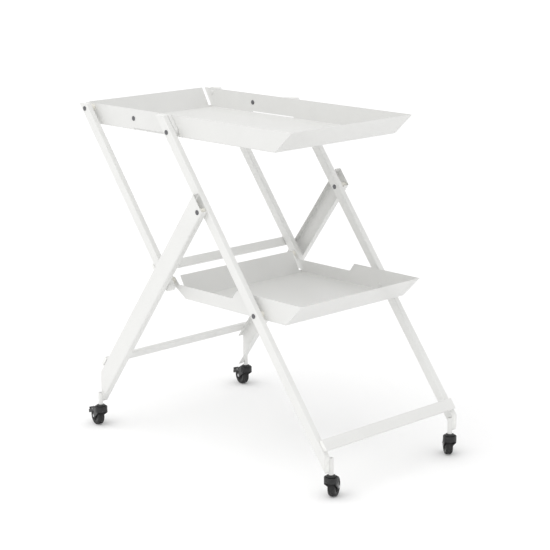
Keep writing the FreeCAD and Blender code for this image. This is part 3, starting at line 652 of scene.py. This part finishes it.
# %% Weld beads
BEAD_RADIUS = 1.3 * MM
RIPPLE_MM = 1.3
RIPPLE_SWELL = 1.16
BEAD_SETBACK = 1.5 * MM
SOCKET_BEAD_BOTTOM = 12.0 * MM
SOCKET_BEAD_TOP = 1.0 * MM
SOCKET_BEAD_REACH = 0.75


def add_bead(bm, start, end):
    """One bead from one point to another. Its swelling adds up along it, as said above."""
    start, end = Vector(start), Vector(end)
    along = (end - start).normalized()
    length = (end - start).length
    turn = Vector((0, 0, 1)).rotation_difference(along).to_matrix().to_4x4()
    made = bmesh.ops.create_cone(bm, cap_ends=True, segments=12, radius1=BEAD_RADIUS,
                                 radius2=BEAD_RADIUS, depth=length,
                                 matrix=Matrix.Translation((start + end) / 2) @ turn)
    slices = int(length / (RIPPLE_MM * MM)) * 2
    geometry = made["verts"] + list({e for v in made["verts"] for e in v.link_edges})
    geometry += list({f for v in made["verts"] for f in v.link_faces})
    for number in range(1, slices):
        spot = start + along * (length * number / slices)
        cut = bmesh.ops.bisect_plane(bm, geom=geometry, plane_co=spot, plane_no=along, dist=1e-7)
        geometry = cut["geom"]
        ring = [item for item in cut["geom_cut"] if isinstance(item, bmesh.types.BMVert)]
        if number % 2 == 1:
            bmesh.ops.scale(bm, vec=(RIPPLE_SWELL,) * 3, space=Matrix.Translation(-spot), verts=ring)


def corner_of(node, along, across, sign_along, sign_across):
    """A rail's long edge, as the corner of its section in its own slanted directions."""
    points = [v.co for v in frame["nodes"][node].data.vertices]
    run = [p.dot(along) for p in points]
    lift = [p.dot(across) for p in points]
    return (max(run) if sign_along > 0 else min(run), max(lift) if sign_across > 0 else min(lift))


def slant(node):
    """Directions along and square to a slanted leg, from the spread of its points."""
    points = [v.co for v in frame["nodes"][node].data.vertices]
    middle = sum(points, Vector()) / len(points)
    xx = sum((p.x - middle.x) ** 2 for p in points)
    zz = sum((p.z - middle.z) ** 2 for p in points)
    xz = sum((p.x - middle.x) * (p.z - middle.z) for p in points)
    angle = 0.5 * math.atan2(2 * xz, xx - zz)
    along = Vector((math.cos(angle), 0, math.sin(angle)))
    along = -along if along.z > 0 else along
    across = Vector((-along.z, 0, along.x))
    return along, across if across.z > 0 else -across


def rail_beads(bm, rail, leg, inner_side):
    """Four beads: along both edges of a rail, on each of the two legs it joins."""
    along, across = slant(leg)
    leg_low, leg_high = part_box(leg)
    rail_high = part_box(rail)[1]
    y_in = leg_low[1] + BEAD_SETBACK
    y_out = min(leg_high[1], rail_high[1]) - BEAD_SETBACK
    for sign in (1, -1):
        run, lift = corner_of(rail, along, across, sign, inner_side)
        spot = along * run + across * lift
        for side in (1, -1):
            add_bead(bm, (spot.x, side * y_in, spot.z), (spot.x, side * y_out, spot.z))


def socket_beads(bm, node, leg_node, leg_is_outside):
    """An upright bead at each side of a socket, where the leg behind it reaches that far."""
    low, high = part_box(node)
    middle_x = (low[0] + high[0]) / 2
    leg_low, leg_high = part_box(leg_node)
    left = low[1] > 0
    face = leg_low[1] if left == leg_is_outside else leg_high[1]
    bottom, top = low[2] + SOCKET_BEAD_BOTTOM, high[2] - SOCKET_BEAD_TOP
    reach = (high[0] - low[0]) / 2 * SOCKET_BEAD_REACH
    for x in (middle_x + reach, middle_x - reach):
        if leg_low[0] < x < leg_high[0]:
            add_bead(bm, (x, face, bottom), (x, face, top))


# %% [markdown]
# Each of the three welded frames gets its beads as one piece: the front legs with their rail and
# sockets, the links with their rail, and the rear legs with their rail and sockets.

# %% Three weldments
bm = bmesh.new()
rail_beads(bm, "front_cross_rail", "front_leg_left", -1)
for side in ("left", "right"):
    socket_beads(bm, "front_caster_socket_" + side, "front_leg_" + side, True)
join_model(finish_mesh(bm, "front_frame_welds"), "front_frame_welds", "front_frame", "frame_coat")
bm = bmesh.new()
rail_beads(bm, "rear_link_rail", "rear_link_left", 1)
join_model(finish_mesh(bm, "rear_link_welds"), "rear_link_welds", "rear_links", "frame_coat")
bm = bmesh.new()
rail_beads(bm, "rear_leg_rail", "rear_leg_left", -1)
for side in ("left", "right"):
    socket_beads(bm, "rear_caster_socket_" + side, "rear_leg_" + side, False)
join_model(finish_mesh(bm, "rear_leg_welds"), "rear_leg_welds", "rear_legs", "frame_coat")
print("weldments 3")

# %% [markdown]
# ## The nodes that stay
# Bushes, plugs, stems and pins are already right in shape, and mostly hidden, so they keep the frame's
# own meshes and only take a finish.

# %% Finishes for every node
for node, thing in frame["nodes"].items():
    finish = finish_of_slot[slot_of_node[node]]
    thing.data.materials.clear()
    thing.data.materials.append(finish)

# %% [markdown]
# ## Studio
# A pale floor that runs far behind the trolley, under a bright even sky. One very broad sun, high and
# to the left of the camera, lifts the near faces a little and leaves only faint shadows. A sun
# lights the far floor as much as the near floor, where an area light would fade.


# %% Studio
FLOOR_HALF = 60.0


def make_floor():
    bm = bmesh.new()
    bmesh.ops.create_grid(bm, x_segments=1, y_segments=1, size=FLOOR_HALF)
    mesh = bpy.data.meshes.new("floor")
    bm.to_mesh(mesh)
    bm.free()
    floor = bpy.data.objects.new("floor", mesh)
    bpy.context.scene.collection.objects.link(floor)
    material, _, shader, _ = start_material("pale_floor")
    shader.inputs["Base Color"].default_value = linear("FCFCFC")
    shader.inputs["Roughness"].default_value = 1.0
    shader.inputs["Specular IOR Level"].default_value = 0.0
    mesh.materials.append(material)


SKY_STRENGTH = 0.86
SUN_STRENGTH = 1.0
SUN_ANGLE = math.radians(80)
SUN_FROM = Vector((-0.1, -0.6, 1.0))


def make_sun():
    data = bpy.data.lights.new("broad_sun", "SUN")
    data.energy = SUN_STRENGTH
    data.angle = SUN_ANGLE
    sun = bpy.data.objects.new("broad_sun", data)
    sun.rotation_euler = (-SUN_FROM).to_track_quat("-Z", "Y").to_euler()
    bpy.context.scene.collection.objects.link(sun)


make_floor()
make_sun()
world = bpy.data.worlds.new("studio")
world.use_nodes = True
world.node_tree.nodes["Background"].inputs["Color"].default_value = (1, 1, 1, 1)
world.node_tree.nodes["Background"].inputs["Strength"].default_value = SKY_STRENGTH
bpy.context.scene.world = world
bpy.context.scene.view_settings.view_transform = "Standard"
